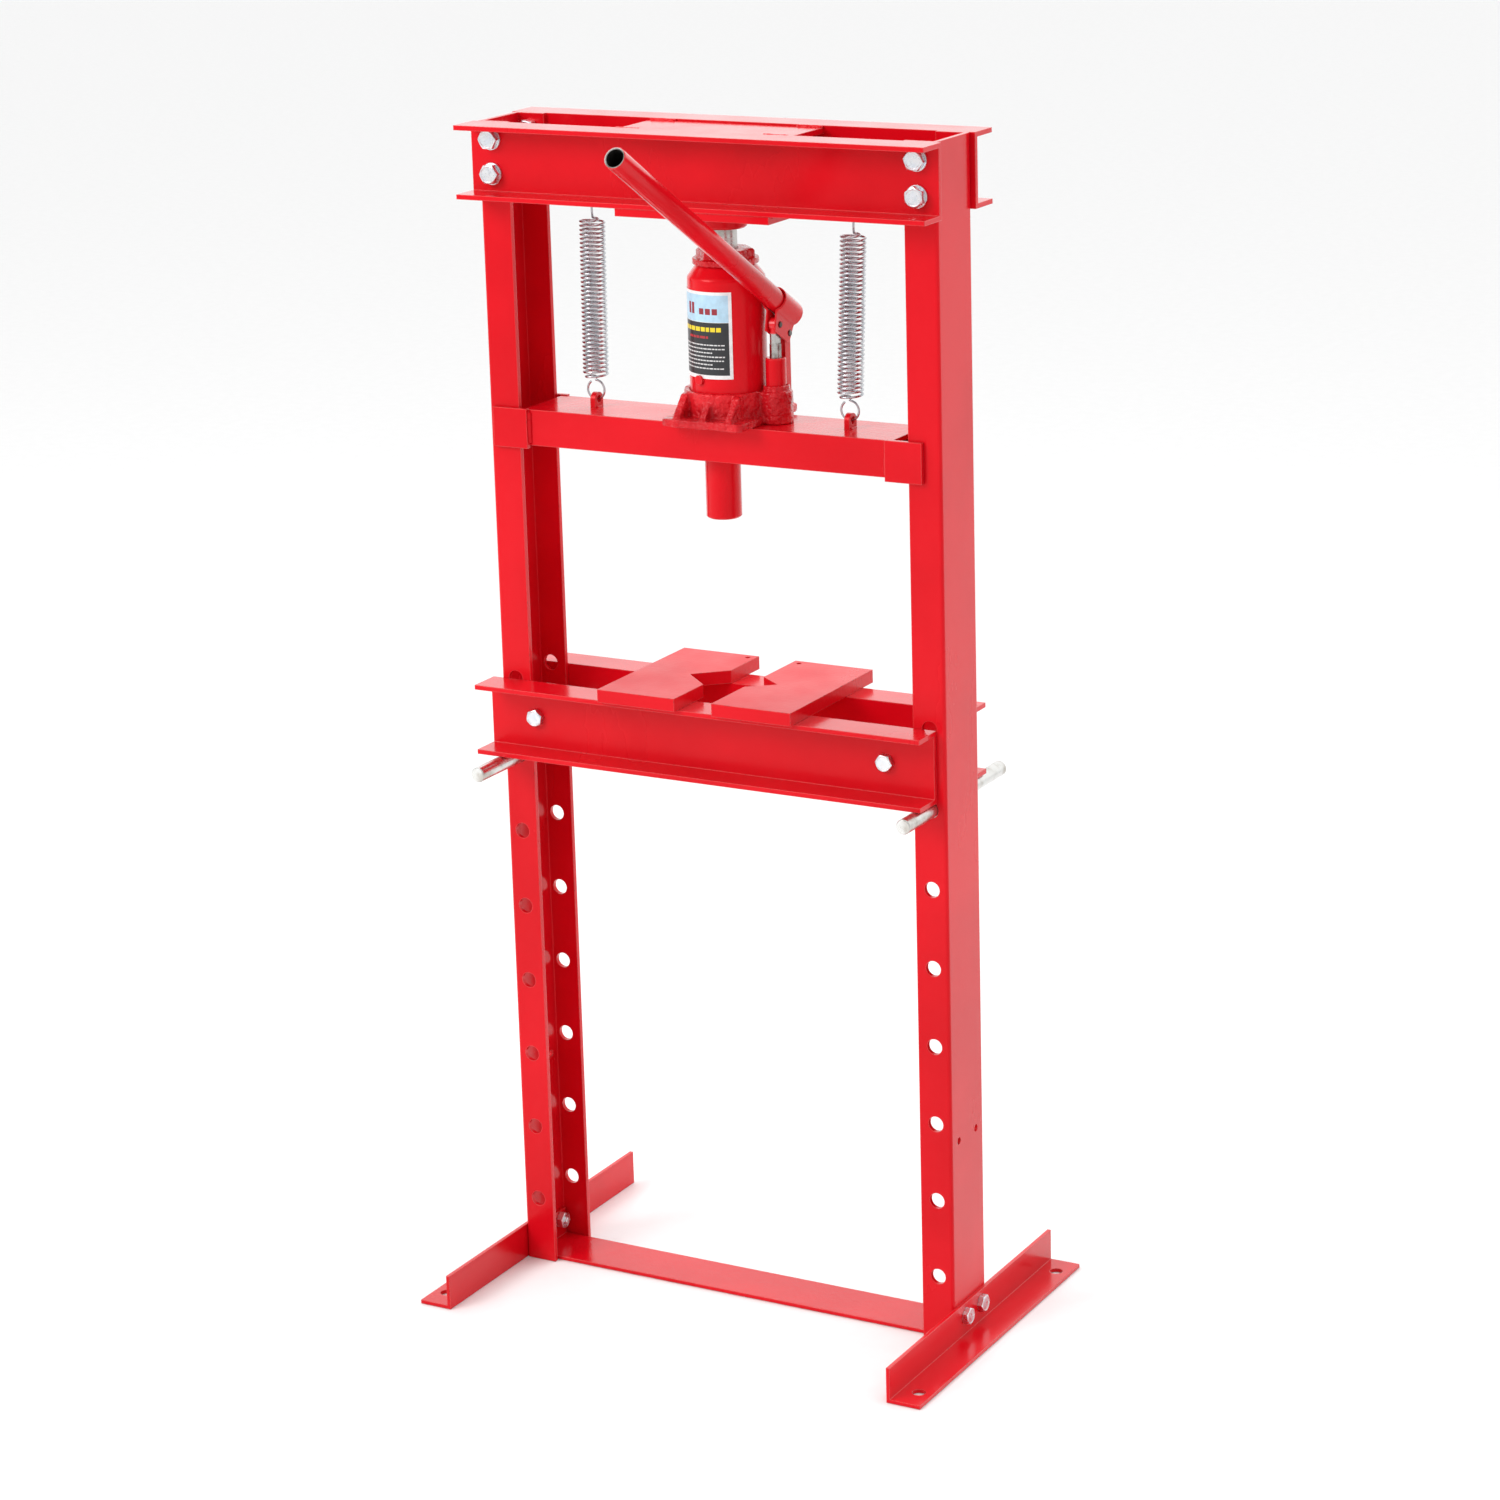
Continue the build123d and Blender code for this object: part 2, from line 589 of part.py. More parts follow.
# ---- bottle jack --------------------------------------------------------------------------------
with BuildPart() as jack_base:
    with BuildSketch(Plane.XY.offset(beam_top)):
        with Locations((jack_shift, 0)):
            RectangleRounded(base_plate[0], base_plate[1], base_plate_corner)
    extrude(amount=base_plate_wall)
    with BuildSketch(Plane.XY.offset(beam_top)):
        with Locations((jack_shift, 0)):
            Circle(base_ring_radius)
        with Locations((pump_x, 0)):
            Circle(pump_boss_foot)
        with Locations(((pump_x + jack_shift) / 2, 0)):
            Rectangle(pump_offset, 2 * pump_boss_radius)
    extrude(amount=base_height)
    with BuildSketch(Plane.XY.offset(beam_top)):
        with Locations((pump_x, 0)):
            Circle(pump_boss_radius)
    extrude(amount=pump_boss_height)
    # ribs that run down from the ring to the base plate's front and rear edges
    rib_end = base_plate[1] / 2 - base_rib_inset
    rib_top = base_top - base_rib_inset
    for front in (-1, 1):
        for rib in (-1, 0, 1):
            rib_x = jack_shift + rib * base_rib_spacing
            with BuildSketch(Plane.YZ.offset(rib_x - base_rib_wall / 2)):
                with BuildLine():
                    Polyline(
                        (front * base_rib_spacing, beam_top),
                        (front * rib_end, beam_top),
                        (front * rib_end, beam_top + base_plate_wall),
                        (front * base_rib_top, rib_top),
                        (front * base_rib_spacing, rib_top),
                        close=True,
                    )
                make_face()
            extrude(amount=base_rib_wall)
    # ear beside the link bar
    with BuildSketch(Plane.YZ.offset(pump_x - ear_outer)):
        with Locations((link_offset, beam_top + link_base_z)):
            Circle(ear_radius)
        with Locations((link_offset, beam_top + link_base_z / 2)):
            Rectangle(2 * ear_radius, link_base_z)
        with Locations((link_offset / 2, beam_top + base_height / 2)):
            Rectangle(link_offset, base_height)
    extrude(amount=ear_wall)
    with BuildSketch(Plane.XY.offset(beam_top + base_height)):
        with Locations((pump_x, 0)):
            Circle(pump_boss_radius)
    extrude(amount=pump_boss_height - base_height)
    # room for the link bar's foot, and the hole for its pin
    slot_half = link_thickness / 2 + cheek_gap
    slot_front = link_offset - link_width / 2 - ear_room
    slot_low = link_low_z - link_width / 2 - ear_room
    with BuildSketch(Plane.YZ.offset(pump_x - slot_half)):
        with Locations((slot_front, slot_low)):
            Rectangle(2 * link_width, base_height, align=(Align.MIN, Align.MIN))
    extrude(amount=slot_half + pump_boss_foot, mode=Mode.SUBTRACT)
    with BuildSketch(Plane.YZ.offset(pump_x)):
        with Locations((link_offset, link_low_z)):
            Circle(socket_pin_radius + pin_fit)
    extrude(amount=2 * ear_outer, both=True, mode=Mode.SUBTRACT)
    # seats for the tank, the inner cylinder, the pump cylinder and the release valve
    with BuildSketch(Plane.XY.offset(base_top - tank_seat)):
        with Locations((jack_shift, 0)):
            Circle(tank_radius)
    extrude(amount=pump_boss_height, mode=Mode.SUBTRACT)
    with BuildSketch(Plane.XY.offset(cylinder_bottom)):
        with Locations((jack_shift, 0)):
            Circle(cylinder_outer)
    extrude(amount=base_height, mode=Mode.SUBTRACT)
    with BuildSketch(Plane.XY.offset(beam_top + pump_boss_height - pump_seat)):
        with Locations((pump_x, 0)):
            Circle(pump_radius)
    extrude(amount=pump_seat, mode=Mode.SUBTRACT)
    with BuildSketch(Plane.XZ.offset(-valve_face)):
        with Locations((valve_x, valve_z)):
            Circle(valve_radius + valve_gap)
    extrude(amount=valve_depth + valve_gap, mode=Mode.SUBTRACT)
save(jack_base, "jack_base")

# the filler plug's axis leaves the tank at plug_azimuth, measured from the operator towards +X
plug_out = (sin(radians(plug_azimuth)), -cos(radians(plug_azimuth)), 0)
plug_origin = (jack_shift + tank_radius * plug_out[0], tank_radius * plug_out[1], plug_z)
plug_plane = Plane(origin=plug_origin, x_dir=(0, 0, 1), z_dir=plug_out)

with BuildPart() as tank:
    lip_radius = cap_flange_radius - cap_lip
    tank_bore = cylinder_outer + 6.0
    with BuildSketch(Plane.XZ):
        with BuildLine():
            Polyline(
                (jack_shift + tank_bore, tank_top),
                (jack_shift + lip_radius, tank_top),
                (jack_shift + tank_radius, tank_top - shoulder_height),
                (jack_shift + tank_radius, base_top - tank_seat),
                (jack_shift + tank_radius - tank_wall, base_top - tank_seat),
                (jack_shift + tank_radius - tank_wall, tank_top - shoulder_height - 1.0),
                (jack_shift + lip_radius - 1.5, tank_top - tank_wall),
                (jack_shift + tank_bore, tank_top - tank_wall),
                close=True,
            )
        make_face()
    revolve(axis=jack_axis)
    widest = tank.edges().filter_by(GeomType.CIRCLE).group_by(SortBy.RADIUS)[-1]
    fillet(widest.sort_by(Axis.Z)[-1], tank_round)
    with BuildSketch(plug_plane.offset(-2 * tank_wall)):
        Circle(plug_radius - 1.0 + thread_gap)
    extrude(amount=4 * tank_wall, mode=Mode.SUBTRACT)
save(tank, "jack_tank")

with BuildPart() as filler_plug:
    with BuildSketch(plug_plane.offset(-tank_wall)):
        Circle(plug_radius - 1.0)
    extrude(amount=tank_wall + plug_head)
    with BuildSketch(plug_plane.offset(label_wall)):
        Circle(plug_radius)
    extrude(amount=plug_head)
save(filler_plug, "filler_plug")

# the label wraps the tank from label_start to label_end, measured like the plug's azimuth
with BuildPart() as label:
    label_out = (sin(radians(label_start)), -cos(radians(label_start)), 0)
    label_plane = Plane(
        origin=(jack_shift, 0, 0), x_dir=label_out, z_dir=(label_out[1], -label_out[0], 0)
    )
    with BuildSketch(label_plane):
        with Locations((tank_radius + label_wall / 2, label_z)):
            Rectangle(label_wall, label_height)
    revolve(axis=jack_axis, revolution_arc=label_end - label_start)
    with BuildSketch(plug_plane.offset(-tank_wall)):
        Circle(plug_radius + 0.5)
    extrude(amount=3 * tank_wall, mode=Mode.SUBTRACT)
save(label, "jack_label")

with BuildPart() as jack_cap:
    with BuildSketch(Plane.XY.offset(tank_top)):
        with Locations((jack_shift, 0)):
            Circle(cap_flange_radius)
    extrude(amount=cap_flange_height)
    with BuildSketch(Plane.XY.offset(tank_top + cap_flange_height)):
        with Locations((jack_shift, 0)):
            RegularPolygon(cap_nut_width / 2, 6, major_radius=False, rotation=15)
    extrude(amount=cap_nut_height)
    with BuildSketch(Plane.XY.offset(tank_top - cap_plug_depth)):
        with Locations((jack_shift, 0)):
            Circle(cylinder_bore - thread_gap)
    extrude(amount=cap_plug_depth)
    with BuildSketch(Plane.XY.offset(tank_top - cap_plug_depth)):
        with Locations((jack_shift, 0)):
            Circle(ram_radius + ram_gap)
    extrude(amount=cap_plug_depth + cap_flange_height + cap_nut_height, mode=Mode.SUBTRACT)
    chamfer(jack_cap.faces().sort_by(Axis.Z)[-1].outer_wire().edges(), cap_chamfer)
save(jack_cap, "jack_cap_nut")

with BuildPart() as pressure_cylinder:
    with BuildSketch(Plane.XY.offset(cylinder_bottom)):
        with Locations((jack_shift, 0)):
            Circle(cylinder_outer)
            Circle(cylinder_bore, mode=Mode.SUBTRACT)
    extrude(amount=tank_top - cylinder_bottom)
save(pressure_cylinder, "pressure_cylinder")

with BuildPart() as ram:
    ram_bottom = cylinder_bottom + ram_floor_gap
    with BuildSketch(Plane.XY.offset(ram_bottom)):
        with Locations((jack_shift, 0)):
            Circle(cylinder_bore - ram_gap)
    extrude(amount=ram_head_height)
    with BuildSketch(Plane.XY.offset(ram_bottom)):
        with Locations((jack_shift, 0)):
            Circle(ram_radius)
    extrude(amount=ram_top - ram_bottom)
    chamfer(ram.faces().sort_by(Axis.Z)[-1].edges(), 1.0)
save(ram, "ram")
ram_travel = tank_top - cap_plug_depth - ram_bottom - ram_head_height
print("ram travel inside the cylinder", round(ram_travel, 1), "for a stroke of", stroke)

# ---- pump: cylinder, piston, link bar and its lower pin -----------------------------------------
pump_bottom = beam_top + pump_boss_height - pump_seat
eye_z = beam_top + piston_pin_z
link_high_z = eye_z - link_offset * tan(radians(handle_angle))

with BuildPart() as pump_cylinder:
    with BuildSketch(Plane.XY.offset(pump_bottom)):
        with Locations((pump_x, 0)):
            Circle(pump_radius)
    extrude(amount=pump_seat + pump_height)
    chamfer(pump_cylinder.faces().sort_by(Axis.Z)[-1].edges(), 1.0)
    with BuildSketch(Plane.XY.offset(pump_bottom + pump_floor)):
        with Locations((pump_x, 0)):
            Circle(piston_radius + piston_gap)
    extrude(amount=pump_seat + pump_height, mode=Mode.SUBTRACT)
save(pump_cylinder, "pump_cylinder")

with BuildPart() as pump_piston:
    piston_bottom = pump_bottom + pump_floor + pump_room
    with BuildSketch(Plane.XY.offset(piston_bottom)):
        with Locations((pump_x, 0)):
            Circle(piston_radius)
    extrude(amount=eye_z - piston_bottom)
    with BuildSketch(Plane.YZ.offset(pump_x)):
        with Locations((0, eye_z)):
            Circle(eye_radius)
    extrude(amount=piston_radius, both=True)
    # flats that let the eye into the socket's fork
    for side in (-1, 1):
        with BuildSketch(Plane.YZ.offset(pump_x + side * link_thickness / 2)):
            with Locations((0, eye_z)):
                Rectangle(4 * eye_radius, 2 * eye_flat)
        extrude(amount=side * piston_radius, mode=Mode.SUBTRACT)
    with BuildSketch(Plane.YZ.offset(pump_x)):
        with Locations((0, eye_z)):
            Circle(socket_pin_radius + eye_gap)
    extrude(amount=piston_radius, both=True, mode=Mode.SUBTRACT)
save(pump_piston, "pump_piston")

with BuildPart() as link_bar:
    with BuildSketch(Plane.YZ.offset(pump_x)):
        with Locations((link_offset, (link_low_z + link_high_z) / 2)):
            SlotCenterToCenter(link_high_z - link_low_z, link_width, rotation=90)
        with Locations((link_offset, link_low_z), (link_offset, link_high_z)):
            Circle(socket_pin_radius + pin_fit, mode=Mode.SUBTRACT)
    extrude(amount=link_thickness / 2, both=True)
save(link_bar, "link_bar")

with BuildPart() as link_pin:
    shank = ear_outer + pin_proud + link_thickness / 2 + cheek_gap
    with BuildSketch(Plane.YZ.offset(pump_x - ear_outer - pin_proud)):
        with Locations((link_offset, link_low_z)):
            Circle(socket_pin_radius)
    extrude(amount=shank)
    with BuildSketch(Plane.YZ.offset(pump_x + link_thickness / 2 + cheek_gap)):
        with Locations((link_offset, link_low_z)):
            Circle(link_pin_head_radius)
    extrude(amount=link_pin_head)
    chamfer(link_pin.edges().filter_by(GeomType.CIRCLE).group_by(Axis.X)[-1], 0.6)
save(link_pin, "link_lower_pin")

# ---- handle socket: a bent sheet, round over the handle and pinched together over the pins ------
# u runs up the handle's axis from the piston pin, w is square to it and points up and back
rise = radians(handle_angle)
handle_origin = (pump_x, socket_drop * sin(rise), eye_z + socket_drop * cos(rise))
handle_plane = Plane(origin=handle_origin, x_dir=(1, 0, 0), z_dir=(0, -cos(rise), sin(rise)))
side_plane = Plane(origin=handle_origin, x_dir=(0, -cos(rise), sin(rise)), z_dir=(-1, 0, 0))
fork_inner = link_thickness / 2 + cheek_gap
fork_outer = fork_inner + socket_wall
fork_low = -(socket_drop + fork_below_pin)

with BuildPart() as handle_socket:
    with BuildSketch(handle_plane.offset(-socket_back)):
        Circle(tube_hold + socket_wall)
        with Locations((0, fork_low / 2)):
            Rectangle(2 * fork_outer, -fork_low)
        Circle(tube_hold, mode=Mode.SUBTRACT)
        with Locations((0, fork_low / 2)):
            Rectangle(2 * fork_inner, -fork_low, mode=Mode.SUBTRACT)
    extrude(amount=socket_back + socket_mouth)
    with BuildSketch(side_plane):
        with BuildLine():
            Polyline(
                (socket_mouth, tube_hold + socket_wall),
                (-socket_back + 7.0, tube_hold + socket_wall),
                (-socket_back, tube_hold - 4.0),
                (-socket_back, fork_low + 3.0),
                (-socket_back + 4.0, fork_low),
                (socket_mouth - 7.0, fork_low),
                (socket_mouth, -handle_radius),
                close=True,
            )
        make_face()
    extrude(amount=2 * tube_hold, both=True, mode=Mode.INTERSECT)
    pin_points = [(0, eye_z), (link_offset, link_high_z)]
    for pin_y, pin_height in pin_points:
        with BuildSketch(Plane.YZ.offset(pump_x)):
            with Locations((pin_y, pin_height)):
                Circle(socket_pin_radius + pin_fit)
        extrude(amount=2 * fork_outer, both=True, mode=Mode.SUBTRACT)
save(handle_socket, "handle_socket")

with BuildPart() as socket_pins:
    with BuildSketch(Plane.YZ.offset(pump_x)):
        with Locations(*pin_points):
            Circle(socket_pin_radius)
    extrude(amount=fork_outer + pin_proud, both=True)
    chamfer(socket_pins.edges().filter_by(GeomType.CIRCLE), 0.6)
save(socket_pins, "socket_pins")

with BuildPart() as handle_tube:
    with BuildSketch(handle_plane.offset(socket_mouth - handle_in_socket)):
        Circle(handle_radius)
        Circle(handle_radius - handle_wall, mode=Mode.SUBTRACT)
    extrude(amount=handle_length)
save(handle_tube, "handle_tube")

# ---- release valve: a slotted screw in the rear of the base, between two ribs -------------------
with BuildPart() as release_valve:
    with BuildSketch(Plane.XZ.offset(-valve_face)):
        with Locations((valve_x, valve_z)):
            Circle(valve_radius)
    extrude(amount=valve_depth)
    with BuildSketch(Plane.XZ.offset(-valve_face)):
        with Locations((valve_x, valve_z)):
            Circle(valve_head_radius)
    extrude(amount=-valve_head)
    with BuildSketch(Plane.XZ.offset(-valve_face - valve_head)):
        with Locations((valve_x, valve_z)):
            Rectangle(4 * valve_radius, valve_slot)
    extrude(amount=valve_head / 2, mode=Mode.SUBTRACT)
save(release_valve, "release_valve")
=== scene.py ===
"""Looks of the hydraulic shop press: materials, springs, bolts, castings, welds, label, studio."""
import json
import math
import random

import bmesh
import bpy
from mathutils import Matrix, Vector


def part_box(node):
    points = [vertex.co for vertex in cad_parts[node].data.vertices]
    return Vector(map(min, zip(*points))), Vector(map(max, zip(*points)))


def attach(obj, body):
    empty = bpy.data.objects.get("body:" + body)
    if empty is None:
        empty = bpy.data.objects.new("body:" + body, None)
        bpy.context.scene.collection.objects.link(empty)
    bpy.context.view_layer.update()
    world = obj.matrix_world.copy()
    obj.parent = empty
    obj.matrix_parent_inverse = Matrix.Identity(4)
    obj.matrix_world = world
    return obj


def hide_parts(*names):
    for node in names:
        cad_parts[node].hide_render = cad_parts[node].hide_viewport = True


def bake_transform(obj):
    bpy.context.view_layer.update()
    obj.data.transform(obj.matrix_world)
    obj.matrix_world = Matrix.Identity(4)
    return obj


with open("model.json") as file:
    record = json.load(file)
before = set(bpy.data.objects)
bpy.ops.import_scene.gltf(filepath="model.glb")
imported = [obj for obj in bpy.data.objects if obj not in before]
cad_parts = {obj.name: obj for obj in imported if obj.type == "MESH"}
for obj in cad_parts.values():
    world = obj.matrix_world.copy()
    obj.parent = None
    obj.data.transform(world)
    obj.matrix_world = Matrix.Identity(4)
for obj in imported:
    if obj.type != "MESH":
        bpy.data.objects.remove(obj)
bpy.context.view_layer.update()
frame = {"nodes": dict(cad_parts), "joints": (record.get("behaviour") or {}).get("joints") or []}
nodes = frame["nodes"]
dice = random.Random(7)


# ---- shader helpers -----------------------------------------------------------------------------
class Shader:
    """A material with a Principled shader and short ways to add noise, ramps and bumps."""

    def __init__(self, name, **sockets):
        self.material = bpy.data.materials.new(name)
        self.material.use_nodes = True
        self.tree = self.material.node_tree
        self.surface = self.tree.nodes["Principled BSDF"]
        for socket, value in sockets.items():
            self.surface.inputs[socket.replace("_", " ")].default_value = value
        coordinates = self.tree.nodes.new("ShaderNodeTexCoord")
        self.place = coordinates.outputs["Object"]

    def link(self, output, target):
        self.tree.links.new(output, target)

    def stretch(self, scale):
        """Object coordinates multiplied axis by axis."""
        mapping = self.tree.nodes.new("ShaderNodeMapping")
        mapping.inputs["Scale"].default_value = scale
        self.link(self.place, mapping.inputs["Vector"])
        return mapping.outputs["Vector"]

    def noise(self, scale, detail=3.0, place=None):
        node = self.tree.nodes.new("ShaderNodeTexNoise")
        node.inputs["Scale"].default_value = scale
        node.inputs["Detail"].default_value = detail
        self.link(place or self.place, node.inputs["Vector"])
        return node.outputs["Fac"]

    def spread(self, value, low, high, to_low, to_high):
        """A value range mapped, and clamped, onto another."""
        node = self.tree.nodes.new("ShaderNodeMapRange")
        node.interpolation_type = "SMOOTHSTEP"
        for socket, number in zip(node.inputs[1:5], (low, high, to_low, to_high)):
            socket.default_value = number
        self.link(value, node.inputs[0])
        return node.outputs[0]

    def mix(self, factor, first, second):
        """Two colours, or colour outputs, mixed by a factor."""
        node = self.tree.nodes.new("ShaderNodeMix")
        node.data_type = "RGBA"
        self.link(factor, node.inputs[0])
        for socket, colour in ((node.inputs[6], first), (node.inputs[7], second)):
            if isinstance(colour, tuple):
                socket.default_value = colour
            else:
                self.link(colour, socket)
        return node.outputs[2]

    def times(self, first, second):
        node = self.tree.nodes.new("ShaderNodeMath")
        node.operation = "MULTIPLY"
        self.link(first, node.inputs[0])
        self.link(second, node.inputs[1])
        return node.outputs[0]

    def bump(self, height, strength, distance, base=None):
        node = self.tree.nodes.new("ShaderNodeBump")
        node.inputs["Strength"].default_value = strength
        node.inputs["Distance"].default_value = distance
        self.link(height, node.inputs["Height"])
        if base is not None:
            self.link(base, node.inputs["Normal"])
        return node.outputs["Normal"]

    def rounded(self, radius):
        """A normal that rounds the edges."""
        node = self.tree.nodes.new("ShaderNodeBevel")
        node.samples = 4
        node.inputs["Radius"].default_value = radius
        return node.outputs["Normal"]

    def edges(self, radius):
        """1 on an edge, 0 on a flat: how far a rounded normal turns from the true one."""
        node = self.tree.nodes.new("ShaderNodeVectorMath")
        node.operation = "DOT_PRODUCT"
        geometry = self.tree.nodes.new("ShaderNodeNewGeometry")
        self.link(self.rounded(radius), node.inputs[0])
        self.link(geometry.outputs["Normal"], node.inputs[1])
        return self.spread(node.outputs["Value"], 0.985, 0.80, 0.0, 1.0)

    def set(self, socket, output):
        self.link(output, self.surface.inputs[socket])

    def sheen_at_grazing(self, normal, start, end, most):
        """A clear coat that grows as the surface turns away, as lacquer over enamel does."""
        node = self.tree.nodes.new("ShaderNodeLayerWeight")
        self.set("Coat Weight", self.spread(node.outputs["Facing"], start, end, 0.0, most))
        self.set("Coat Normal", normal)


def enamel(name, deep, light, peel, peel_scale, gloss=(0.16, 0.30), chips=0.62, lacquer=0.42):
    """Glossy red enamel over sheet steel, with orange peel, faint drift in colour, a painted highlight
    along the edges and a few worn chips on them.
    """
    shader = Shader(name, Specular_Tint=(1.0, 0.28, 0.28, 1.0), Coat_Roughness=0.10)
    drift = shader.noise(5.0, 4.0)
    paint = shader.mix(shader.spread(drift, 0.35, 0.65, 0.0, 1.0), deep, light)
    edge = shader.edges(0.0016)
    # Edges turn a lighter pink: a painted highlight, as if the rounded edges caught the light.
    painted_edge_highlight = shader.mix(edge, paint, (0.80, 0.10, 0.10, 1.0))
    speck = shader.spread(shader.noise(420.0, 2.0), chips, chips + 0.06, 0.0, 1.0)
    worn = shader.times(edge, speck)
    shader.set("Base Color", shader.mix(worn, painted_edge_highlight, (0.10, 0.07, 0.06, 1.0)))
    smear = shader.noise(14.0, 5.0, shader.stretch((1.0, 1.0, 0.35)))
    shader.set("Roughness", shader.spread(smear, 0.2, 0.8, gloss[0], gloss[1]))
    skin = shader.bump(shader.noise(peel_scale, 2.0), peel, 0.0005, shader.rounded(0.0012))
    grit = shader.bump(shader.noise(4.0 * peel_scale, 1.0), 0.5 * peel, 0.0003, skin)
    shader.set("Normal", grit)
    shader.sheen_at_grazing(grit, 0.30, 0.75, lacquer)
    return shader.material


def cast_paint(name):
    """Red enamel over rough sand-cast iron."""
    shader = Shader(name, Specular_Tint=(1.0, 0.45, 0.45, 1.0), Coat_Roughness=0.08)
    drift = shader.noise(30.0, 5.0)
    share = shader.spread(drift, 0.35, 0.65, 0.0, 1.0)
    shader.set("Base Color", shader.mix(share, (0.50, 0.006, 0.012, 1), (0.70, 0.012, 0.02, 1)))
    shader.set("Roughness", shader.spread(shader.noise(60.0, 3.0), 0.3, 0.7, 0.12, 0.34))
    grain = shader.bump(shader.noise(230.0, 3.0), 0.9, 0.0022)
    lumps = shader.bump(shader.noise(105.0, 2.0), 0.8, 0.004, grain)
    shader.set("Normal", lumps)
    shader.sheen_at_grazing(lumps, 0.15, 0.70, 0.6)
    return shader.material


def plated(name, colour, tint, roughness, scale=90.0):
    """Bright zinc plate: a soft blue and yellow cast over satin metal."""
    shader = Shader(name, Metallic=1.0)
    cast = shader.spread(shader.noise(scale, 3.0), 0.3, 0.7, 0.0, 1.0)
    shader.set("Base Color", shader.mix(cast, colour, tint))
    rub = shader.noise(scale * 3, 4.0)
    shader.set("Roughness", shader.spread(rub, 0.3, 0.7, roughness[0], roughness[1]))
    shader.set("Normal", shader.bump(rub, 0.12, 0.0003, shader.rounded(0.0004)))
    return shader.material


def ground_steel(name, colour, stain, along, roughness):
    """Turned or ground steel: fine lines across the axis named in along, and faint oil stains."""
    shader = Shader(name, Metallic=1.0)
    lines = shader.noise(1.0, 2.0, shader.stretch(along))
    patches = shader.spread(shader.noise(45.0, 4.0), 0.42, 0.62, 0.0, 1.0)
    shader.set("Base Color", shader.mix(patches, colour, stain))
    shader.set("Roughness", shader.spread(lines, 0.3, 0.7, roughness[0], roughness[1]))
    shader.set("Normal", shader.bump(lines, 0.25, 0.0002, shader.rounded(0.0005)))
    return shader.material


def painted_eye(name, level):
    """Ground steel that turns to red enamel above a level, for the pump piston and its eye."""
    shader = Shader(name)
    split = shader.tree.nodes.new("ShaderNodeSeparateXYZ")
    shader.link(shader.place, split.inputs[0])
    above = shader.spread(split.outputs["Z"], level - 0.0008, level + 0.0008, 0.0, 1.0)
    below = shader.spread(above, 0.0, 1.0, 1.0, 0.0)
    stain = shader.spread(shader.noise(60.0, 4.0), 0.40, 0.62, 0.0, 1.0)
    metal = shader.mix(stain, (0.50, 0.49, 0.47, 1.0), (0.20, 0.17, 0.15, 1.0))
    shader.set("Base Color", shader.mix(above, metal, LIGHT_RED))
    shader.set("Metallic", below)
    shader.set("Roughness", shader.spread(shader.noise(300.0, 3.0), 0.3, 0.7, 0.18, 0.36))
    shader.set("Normal", shader.bump(shader.noise(500.0, 2.0), 0.2, 0.0003, shader.rounded(0.0005)))
    return shader.material


def ink(name, colour, roughness=0.35):
    """Printed foil: flat ink with a little mottling and a varnish."""
    shader = Shader(name, Coat_Weight=0.25, Coat_Roughness=0.12)
    darker = tuple(0.86 * channel for channel in colour[:3]) + (1.0,)
    mottle = shader.spread(shader.noise(160.0, 4.0), 0.3, 0.7, 0.0, 1.0)
    shader.set("Base Color", shader.mix(mottle, colour, darker))
    shader.set("Roughness", shader.spread(mottle, 0.0, 1.0, roughness, roughness + 0.12))
    shader.set("Normal", shader.bump(shader.noise(900.0, 2.0), 0.05, 0.0001))
    return shader.material


def make_floor_material():
    shader = Shader("studio_floor", Roughness=0.6)
    tone = shader.spread(shader.noise(40.0, 2.0), 0.2, 0.8, 0.0, 1.0)
    shader.set("Base Color", shader.mix(tone, (0.88, 0.88, 0.88, 1), (0.90, 0.90, 0.90, 1)))
    return shader.material


DEEP_RED = (0.60, 0.002, 0.008, 1.0)
LIGHT_RED = (0.70, 0.004, 0.012, 1.0)
frame_paint = enamel("frame_enamel", DEEP_RED, LIGHT_RED, 0.10, 240.0)
bar_paint = enamel("crossbar_enamel", DEEP_RED, LIGHT_RED, 0.55, 170.0, (0.12, 0.24))
plate_paint = enamel("plate_enamel", DEEP_RED, LIGHT_RED, 0.30, 200.0, (0.24, 0.42), 0.55, 0.12)
tank_paint = enamel("tank_enamel", (0.62, 0.002, 0.008, 1), (0.74, 0.006, 0.014, 1), 0.14, 150.0,
                    (0.14, 0.26))
iron_paint = cast_paint("cast_iron_enamel")
zinc = plated("bright_zinc", (0.78, 0.79, 0.80, 1), (0.70, 0.74, 0.80, 1), (0.22, 0.42))
spring_zinc = plated("spring_zinc", (0.56, 0.57, 0.59, 1), (0.44, 0.46, 0.49, 1), (0.18, 0.34), 60.0)
steel = ground_steel("ground_steel", (0.56, 0.55, 0.53, 1), (0.38, 0.35, 0.32, 1), (60.0, 60.0, 2600.0),
                     (0.20, 0.42))
pin_steel = ground_steel("pin_steel", (0.72, 0.72, 0.70, 1), (0.50, 0.47, 0.43, 1),
                         (60.0, 2600.0, 60.0), (0.18, 0.36))
dark_steel = ground_steel("oiled_steel", (0.24, 0.23, 0.22, 1), (0.09, 0.08, 0.07, 1),
                          (900.0, 900.0, 900.0), (0.30, 0.50))


def paint_node(name, material):
    mesh = nodes[name].data
    mesh.materials.clear()
    mesh.materials.append(material)


